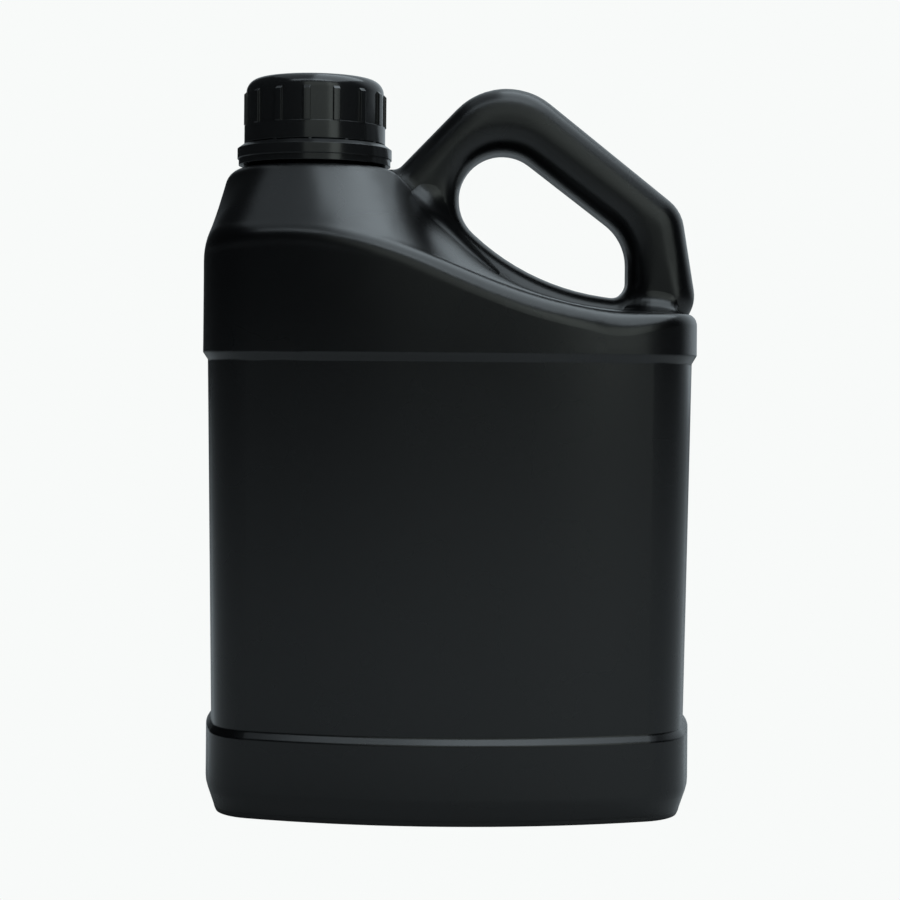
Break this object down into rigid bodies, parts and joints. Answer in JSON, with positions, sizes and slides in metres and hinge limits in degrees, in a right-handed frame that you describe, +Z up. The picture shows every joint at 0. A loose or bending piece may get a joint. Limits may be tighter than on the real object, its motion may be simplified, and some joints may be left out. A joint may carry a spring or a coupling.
{
  "type": "plastic jug with handle",
  "caption": "Blow-moulded plastic jug with a through handle, an offset threaded neck, a ribbed screw cap and a tamper-evident ring.",
  "frame": {"origin": "centre of the base, on the plane that the jug stands on", "axes": "+Z up the jug, +Y through its thin side from the front to the back, +X from the neck's end towards the handle's end"},
  "size_m": [0.197, 0.138, 0.2863],
  "materials": {
    "bottle": "satin blow-moulded polyethylene, black",
    "cap": "glossy moulded polypropylene, black",
    "wad": "closed-cell foam, off-white",
    "ring": "glossy moulded polypropylene, black"
  },
  "bodies": {
    "jug": {"bottle": "bottle", "tamper_ring": "ring"},
    "cap_rise": {"sealing_wad": "wad"},
    "cap": {"cap": "cap"}
  },
  "joints": [
    {"name": "cap_lift", "type": "slide", "parent": "jug", "child": "cap_rise", "axis": [0, 0, 1], "range_m": [0, 0.01501]},
    {"name": "cap_turn", "type": "hinge", "parent": "cap_rise", "child": "cap", "pos_m": [-0.0553, 0, 0.26], "axis": [0, 0, 1], "range_deg": [0, 1080]}
  ],
  "couplings": [
    {"joint": "cap_lift", "follows": "cap_turn", "m_per_rad": 0.00079577}
  ]
}
